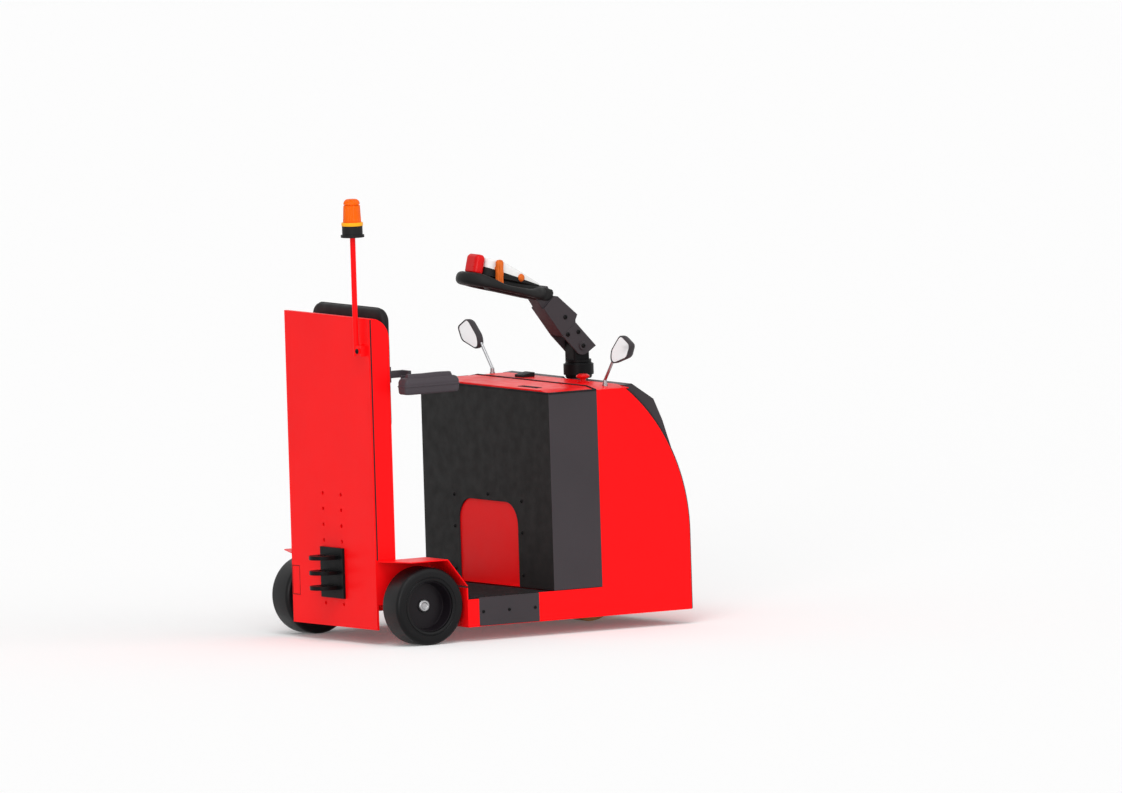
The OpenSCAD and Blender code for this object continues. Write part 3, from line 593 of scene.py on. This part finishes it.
def add_headlamps():
    """A bright bezel and a ribbed clear lens on each lamp, with the CAD solid as the bowl behind."""
    # The lamp bowls take the mirror glass finish, whose near-white colour is partly a painted reflection.
    nodes["headlamps"].data.materials[0] = MATERIALS["mirror_glass"]
    lens = [(LENS_RADIUS, -0.001)] + dome(LENS_RADIUS, 0.0005, 0.006) + [(0.0008, 0.0065)]
    for side, word in SIDES:
        centre, out = lamp_face(side)
        bm = bmesh.new()
        lathe(bm, BEZEL_SECTION, centre, out, 64, closed=True)
        add_piece("lamp_bezel_" + word, bm, "bare_steel", "chassis")
        bm = bmesh.new()
        lathe(bm, lens, centre, out, 96, flutes=24, flute_depth=0.0006)
        add_piece("lamp_lens_" + word, bm, "lamp_glass", "chassis")


add_headlamps()


# Tiller

HEAD_TILT = math.radians(14)
HEAD_ROOT_X = 827
HEAD_ROOT_Z = 1095
# Middle line of the head's loop: along, across, height, half width and half height of its section.
LOOP_SIDE = [(24, 34, -2, 18, 20), (70, 66, -8, 15, 14), (130, 86, -10, 16, 12), (190, 90, -10, 17, 12),
             (232, 82, -4, 19, 17), (268, 50, 0, 24, 22)]
LOOP_FAR_END = [(284, 0, 0, 27, 22)]
LOOP_ROOT = [(2, 0, 0, 30, 22)]
LOOP_OTHER_SIDE = [(x, -y, z, w, h) for x, y, z, w, h in reversed(LOOP_SIDE)]
LOOP_PATH = LOOP_SIDE + LOOP_FAR_END + LOOP_OTHER_SIDE + LOOP_ROOT
# Sections of the housing in the loop's middle: along, half width, bottom and top.
HOUSING = [(-42, 24, -8, 14), (-36, 30, -22, 20), (-10, 33, -26, 22), (60, 31, -27, 22), (150, 30, -26, 22),
           (196, 27, -24, 21), (206, 20, -18, 16)]
# A throttle paddle's size and place, and its layers as inset and distance from the middle.
# The layers past WING_FACE are ribbed.
WING_WIDE, WING_TALL, WING_CORNER = 27, 88, 11
WING_X, WING_Z, WING_OFFSET = 196, 50, 14
WING_TILT = math.radians(12)
WING_LAYERS = ((7, 41), (2.5, 41.6), (0.5, 44), (0, 48), (0.5, 52), (2.5, 55), (6, 56.5), (9, 56))
WING_FACE = 50
HUB_PROFILE = [(0.012, 0.0), (0.012, 0.008), (0.0105, 0.010)]
# Centre and radius of the circles whose hull is the pale cover's outline.
COVER_ROUNDS = ((26, 20), (120, 38), (206, 36))
SHELL_FOOT = 20.5


def head_at(x, y, z):
    """A point in the tiller head's own frame, in millimetres: X to the operator, Z out of its top."""
    along = -x * math.cos(HEAD_TILT) + z * math.sin(HEAD_TILT)
    rise = x * math.sin(HEAD_TILT) + z * math.cos(HEAD_TILT)
    return at(HEAD_ROOT_X + along, y, HEAD_ROOT_Z + rise)


def add_tiller_loop():
    """The head's round-sectioned loop."""
    path = smooth_path(LOOP_PATH, 10)
    count = len(path)
    rings = []
    for k, (x, y, z, wide, tall) in enumerate(path):
        ahead, behind = path[(k + 1) % count], path[k - 1]
        run = Vector((ahead[0] - behind[0], ahead[1] - behind[1])).normalized()
        ring = []
        for c, s in squared_ring(24, 0.8):
            across = wide * c
            ring.append(head_at(x + run.y * across, y - run.x * across, z + tall * s))
        rings.append(ring)
    bm = bmesh.new()
    skin(bm, rings, closed=True)
    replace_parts(add_piece("tiller_loop", bm, "black_plastic", "tiller"), "tiller_head")


def add_tiller_housing():
    """The housing in the loop's middle, which ends in the arm's socket."""
    rings = []
    for x, half, low, high in HOUSING:
        ring = []
        for c, s in squared_ring(40, 0.45):
            ring.append(head_at(x, half * c, (high + low) / 2 + (high - low) / 2 * s))
        rings.append(ring)
    bm = bmesh.new()
    skin(bm, rings)
    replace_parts(add_piece("tiller_housing", bm, "black_plastic", "tiller"), "tiller_head")


def add_throttle_wings():
    """Ribbed, round-edged thumb paddles on each side of the cover, each on its hub."""
    for side, word in SIDES:
        rings = []
        for inset, out in WING_LAYERS:
            ring = []
            corner = max(WING_CORNER - inset, 2)
            for u, v in rounded_outline(WING_WIDE - 2 * inset, WING_TALL - 2 * inset, corner, along=10):
                rib = 1.2 * math.cos(v * 0.75) if out > WING_FACE else 0.0
                x = WING_X + u * math.cos(WING_TILT) + (v - WING_OFFSET) * math.sin(WING_TILT)
                z = WING_Z + (v - WING_OFFSET) * math.cos(WING_TILT) - u * math.sin(WING_TILT)
                ring.append(head_at(x, side * (out + rib), z))
            rings.append(ring)
        bm = bmesh.new()
        skin(bm, rings)
        lathe(bm, HUB_PROFILE, head_at(WING_X, side * 34, WING_Z), (0, side, 0), 32)
        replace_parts(add_piece("throttle_wing_" + word, bm, "orange_plastic", "tiller"), "throttle_wings")


def cover_outline(grow, steps=96):
    """The pale cover's outline from above in the head's frame, grown by some millimetres."""
    points = []
    for k in range(steps):
        turn = 2 * math.pi * k / steps
        x, r = max(COVER_ROUNDS, key=lambda c: c[0] * math.cos(turn) + c[1])
        points.append((x + (r + grow) * math.cos(turn), (r + grow) * math.sin(turn)))
    return points


def add_head_shell():
    """A black shell round the lower part of the pale cover, higher towards the operator."""
    rings = []
    for grow, part, drop in ((0.6, 0, 0), (1.8, 0, -1), (1.8, 1, 1.2), (0.9, 1, 0), (-4, 1, 0)):
        ring = []
        for x, y in cover_outline(grow):
            ring.append(head_at(x, y, SHELL_FOOT + part * (3.5 + 0.1 * x) - drop))
        rings.append(ring)
    bm = bmesh.new()
    skin(bm, rings)
    add_piece("head_shell", bm, "black_plastic", "tiller")


def add_horn_button():
    """A domed orange button on the right side of the tiller's pale cover."""
    out = Vector((0.18, -0.97, 0.10))
    profile = [(0.013, -0.004), (0.013, 0.003)] + dome(0.012, 0.004, 0.006) + [(0.0005, 0.010)]
    bm = bmesh.new()
    lathe(bm, profile, head_at(100, -34.5, 36), out, 32)
    add_piece("horn_button", bm, "orange_plastic", "tiller")


add_tiller_loop()
add_tiller_housing()
add_throttle_wings()
add_head_shell()
add_horn_button()


# Screws and bolts

KNEE_SCREW_Y = 210
KNEE_SCREW_HEIGHTS = (188, 328, 433)
KNEE_TOP_SCREW_Z = 445
KICK_SCREW_INSET = 0.016
# Screws in the tiller's arm and the bolt of its pivot: place along and height, and distance from the middle.
ARM_SCREWS = ((903, 1012), (911, 954), (952, 960))
ARM_SCREW_Y = 40
PIVOT_BOLT = (967, 913)
PIVOT_BOLT_Y = 45


def add_screws(name, places, out, radius, slot, body):
    """Domed screws with a round socket, all in one piece."""
    tall = radius * 0.6
    profile = [(radius, -0.0005), (radius, tall * 0.35), (radius * 0.85, tall * 0.75), (radius * 0.55, tall)]
    profile += [(radius * 0.42, tall), (radius * 0.4, tall * 0.5), (0.0002, tall * 0.45)]
    bm = bmesh.new()
    for place in places:
        lathe(bm, profile, place, out, 20)
    add_piece(name, bm, slot, body)


def add_knee_screws():
    """Screws round the red knee panel."""
    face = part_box("console_cover")[0][0] / MM + TAIL_X / MM
    places = [at(face, side * KNEE_SCREW_Y, z) for side in (-1, 1) for z in KNEE_SCREW_HEIGHTS]
    places.append(at(face, 0, KNEE_TOP_SCREW_Z))
    add_screws("knee_screws", places, (-1, 0, 0), 0.006, "black_cast", "chassis")


def add_side_screws(side, word):
    """Screws in one kick plate, and the screws and pivot bolt on that side of the tiller."""
    low, high = (Vector(c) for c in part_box("kick_plates"))
    pitch = (high.x - low.x - 2 * KICK_SCREW_INSET) / 2
    middle_z = (low.z + high.z) / 2
    places = [Vector((low.x + KICK_SCREW_INSET + i * pitch, side * high.y, middle_z)) for i in range(3)]
    add_screws("kick_screws_" + word, places, (0, side, 0), 0.0055, "black_cast", "chassis")
    places = [at(x, ARM_SCREW_Y * side, z) for x, z in ARM_SCREWS]
    places.append(at(PIVOT_BOLT[0], PIVOT_BOLT_Y * side, PIVOT_BOLT[1]))
    add_screws("tiller_screws_" + word, places, (0, side, 0), 0.0075, "black_cast", "tiller")


add_knee_screws()
for screw_side, screw_word in SIDES:
    add_side_screws(screw_side, screw_word)


# Seals and joints

STRIP_WIDTH = 0.007
STRIP_SECTION = ((-1, -0.6), (-1, 0.4), (-0.7, 0.85), (0, 1), (0.7, 0.85), (1, 0.4), (1, -0.6))
# The deck is flat up to DECK_FLAT from the middle and falls by DECK_FALL over DECK_RUN beyond it.
DECK_TOP, DECK_FLAT, DECK_FALL, DECK_RUN = 808, 340, 9, 55
SEAM_X = 791.5
SEAM_HALF = (200, 340, 370, 394)
EDGE_Z = 799
EDGE_HALF = [(607, 300), (607, 393), (608, 397), (612, 398), (791, 398)]
# The hood: centre and radius of its arc seen from the side, its lower edge and its half width.
HOOD_X, HOOD_Z, HOOD_RADIUS, HOOD_FOOT, HOOD_HALF = 507.6, 308, 630.4, 49, 384
SEAL_SWEEP_DEGREES = 50
SEAL_STEPS = 24
SEAL_SECTION = ((-18, -4), (-18, 4.5), (0.5, 4.5), (2.5, 6.5), (5.5, 7.5), (8.5, 6.5), (10.9, 3), (10.9, -12))
JOINT_SECTION = ((-2.5, -1), (-2.5, 0.4), (-1.2, 1), (1.2, 1), (2.5, 0.4), (2.5, -1))
POLE_SCREW = (-27, -232, 976)
GRIP_X, GRIP_Y = 654, -207
ACCESS_LINE = 0.0016
ACCESS_PROUD = 0.0004


def add_strip(name, points, height):
    """A round-topped rubber strip along a path, standing on it."""
    rings = []
    count = len(points)
    for k, point in enumerate(points):
        run = points[min(k + 1, count - 1)] - points[max(k - 1, 0)]
        across = Vector((-run.y, run.x, 0)).normalized() * STRIP_WIDTH / 2
        rings.append([point + across * c + Vector((0, 0, height * u)) for c, u in STRIP_SECTION])
    bm = bmesh.new()
    skin(bm, rings)
    add_piece(name, bm, "mat_rubber", "chassis")


def deck_point(x, y):
    """A point on the crowned deck, in millimetres from the tow plate and the middle."""
    fall = DECK_FALL * max(0.0, abs(y) - DECK_FLAT) / DECK_RUN
    return at(x, y, DECK_TOP - fall)


def add_deck_strips():
    """The seal between lid and deck, and the bead round the console's top edge."""
    seam = [-y for y in reversed(SEAM_HALF)] + [0] + list(SEAM_HALF)
    add_strip("lid_seal", [deck_point(SEAM_X, y) for y in seam], 0.0035)
    edge = [(x, -y) for x, y in reversed(EDGE_HALF)] + [(EDGE_HALF[0][0], 0)] + EDGE_HALF
    add_strip("console_edge", [at(x, y, EDGE_Z) for x, y in edge], 0.004)


def add_hood_seal(side, word):
    """A rubber seal that closes the slot between the hood's edge and a side panel, up to the deck."""
    rings = []
    for z in (HOOD_FOOT + 1, 180, HOOD_Z - 6):
        ring = []
        for across, out in SEAL_SECTION:
            ring.append(at(HOOD_X + HOOD_RADIUS + out, side * (HOOD_HALF + across), z))
        rings.append(ring)
    for k in range(SEAL_STEPS + 1):
        angle = math.radians(SEAL_SWEEP_DEGREES * k / SEAL_STEPS)
        ring = []
        for across, out in SEAL_SECTION:
            reach = HOOD_RADIUS + out
            x, z = HOOD_X + reach * math.cos(angle), HOOD_Z + reach * math.sin(angle)
            ring.append(at(x, side * (HOOD_HALF + across), z))
        rings.append(ring)
    bm = bmesh.new()
    skin(bm, rings)
    add_piece("hood_seal_" + word, bm, "mat_rubber", "chassis")


def add_plate_joint(side, word):
    """A dark bead down the joint between the tow plate and the backrest column."""
    low, high = (Vector(c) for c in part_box("backrest_column"))
    rings = []
    for z in (low.z + 0.002, high.z - 0.004):
        rings.append([Vector((low.x + a * MM, side * (high.y + b * MM), z)) for a, b in JOINT_SECTION])
    bm = bmesh.new()
    skin(bm, rings)
    add_piece("plate_joint_" + word, bm, "mat_rubber", "chassis")


def add_lid_grip():
    """A dark cup in the lid's grip recess."""
    rings = []
    for grow, z in ((0, 803.5), (1.5, 809), (-1.5, 809), (-3, 805.5)):
        outline = rounded_outline(22 + 2 * grow, 120 + 2 * grow, 6 + grow, along=4)
        rings.append([at(GRIP_X + x, GRIP_Y + y, z) for x, y in outline])
    bm = bmesh.new()
    skin(bm, rings)
    add_piece("lid_grip", bm, "black_plastic", "chassis")


def add_access_joint():
    """A thin dark joint line round the flush cover in the tow plate's rear face."""
    low, high = (Vector(c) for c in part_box("access_cover"))
    corners = ((low.y, low.z, -1, -1), (high.y, low.z, 1, -1), (high.y, high.z, 1, 1), (low.y, high.z, -1, 1))
    section = ((ACCESS_LINE, 0.0), (ACCESS_LINE, -ACCESS_PROUD), (0.0, -ACCESS_PROUD), (0.0, 0.0))
    rings = []
    for grow, x in section:
        rings.append([Vector((low.x + x, y + side * grow, z + rise * grow)) for y, z, side, rise in corners])
    bm = bmesh.new()
    skin(bm, rings, closed=True)
    add_piece("access_joint", bm, "black_cast", "chassis")


add_deck_strips()
for seal_side, seal_word in reversed(SIDES):
    add_hood_seal(seal_side, seal_word)
for joint_side, joint_word in reversed(SIDES):
    add_plate_joint(joint_side, joint_word)
add_screws("pole_screw", [at(*POLE_SCREW)], (-1, 0, 0), 0.0085, "black_cast", "chassis")
add_lid_grip()
add_access_joint()


# Stage

PHOTO_WIDTH = 1122
METRES_PER_PIXEL = 0.0033
CAMERA_AZIMUTH = math.radians(31.73)
CAMERA_ELEVATION = math.radians(4.9)
CAMERA_ROLL = math.radians(-1.78)
CAMERA_TARGET = Vector((0.3715, 0.0, 0.7469))
CAMERA_DISTANCE = 8.0
FLOOR_HALF = 40.0
FLOOR_COLOUR = (0.93, 0.93, 0.93, 1)
FLOOR_LIFT = 0.09
WHITE = (1, 1, 1, 1)


def add_camera():
    """An orthographic camera at the photo's angle, as the photo shows no perspective."""
    forward = Vector((
        math.sin(CAMERA_AZIMUTH) * math.cos(CAMERA_ELEVATION),
        math.cos(CAMERA_AZIMUTH) * math.cos(CAMERA_ELEVATION),
        -math.sin(CAMERA_ELEVATION),
    ))
    level = Vector((math.cos(CAMERA_AZIMUTH), -math.sin(CAMERA_AZIMUTH), 0.0))
    raised = level.cross(forward)
    right = level * math.cos(CAMERA_ROLL) + raised * math.sin(CAMERA_ROLL)
    up = raised * math.cos(CAMERA_ROLL) - level * math.sin(CAMERA_ROLL)
    data = bpy.data.cameras.new("camera")
    data.type = "ORTHO"
    data.ortho_scale = PHOTO_WIDTH * METRES_PER_PIXEL
    data.clip_end = 100
    camera = bpy.data.objects.new("camera", data)
    bpy.context.scene.collection.objects.link(camera)
    turn = Matrix((right, up, -forward)).transposed().to_4x4()
    camera.matrix_world = Matrix.Translation(CAMERA_TARGET - forward * CAMERA_DISTANCE) @ turn
    bpy.context.scene.camera = camera


def camera_sees(tree):
    """A factor of 1 for rays that come from the camera, a mirror or glass."""
    path = tree.nodes.new("ShaderNodeLightPath")
    total = path.outputs["Is Camera Ray"]
    for name in ("Is Glossy Ray", "Is Transmission Ray"):
        most = tree.nodes.new("ShaderNodeMath")
        most.operation = "MAXIMUM"
        tree.links.new(total, most.inputs[0])
        tree.links.new(path.outputs[name], most.inputs[1])
        total = most.outputs[0]
    return total


def add_world(strength):
    """Soft even light, seen as plain white."""
    world = bpy.data.worlds.new("studio")
    bpy.context.scene.world = world
    world.use_nodes = True
    tree = world.node_tree
    background = tree.nodes["Background"]
    span = tree.nodes.new("ShaderNodeMapRange")
    span.inputs["To Min"].default_value = strength
    span.inputs["To Max"].default_value = 1.0
    tree.links.new(camera_sees(tree), span.inputs["Value"])
    tree.links.new(span.outputs[0], background.inputs["Strength"])
    background.inputs["Color"].default_value = WHITE


def add_floor():
    """A large pale floor that keeps the tug's soft shadow, lifted to white where the camera sees it."""
    half = FLOOR_HALF
    corners = [(-half, -half, 0), (half, -half, 0), (half, half, 0), (-half, half, 0)]
    mesh = bpy.data.meshes.new("floor")
    mesh.from_pydata(corners, [], [(0, 1, 2, 3)])
    floor = bpy.data.objects.new("floor", mesh)
    bpy.context.scene.collection.objects.link(floor)
    material = bpy.data.materials.new("floor")
    material.use_nodes = True
    tree = material.node_tree
    shader = tree.nodes["Principled BSDF"]
    shader.inputs["Base Color"].default_value = FLOOR_COLOUR
    shader.inputs["Roughness"].default_value = 0.9
    shader.inputs["Specular IOR Level"].default_value = 0.0
    lift = tree.nodes.new("ShaderNodeMath")
    lift.operation = "MULTIPLY"
    lift.inputs[1].default_value = FLOOR_LIFT
    tree.links.new(camera_sees(tree), lift.inputs[0])
    tree.links.new(lift.outputs[0], shader.inputs["Emission Strength"])
    shader.inputs["Emission Color"].default_value = WHITE
    mesh.materials.append(material)


def add_sun(name, toward, power, softness):
    """A broad distant lamp, so that the floor is lit evenly."""
    data = bpy.data.lights.new(name, "SUN")
    data.energy = power
    data.angle = math.radians(softness)
    lamp = bpy.data.objects.new(name, data)
    bpy.context.scene.collection.objects.link(lamp)
    lamp.rotation_euler = Vector(toward).to_track_quat("-Z", "Y").to_euler()


add_camera()
add_world(strength=0.50)
add_floor()
add_sun("key", (0.42, 0.55, -1.0), power=1.2, softness=35)
add_sun("side", (-0.35, 0.9, -0.45), power=0.6, softness=50)
add_sun("rear", (0.64, 0.74, -0.22), power=0.9, softness=25)
bpy.context.scene.view_settings.view_transform = "Standard"
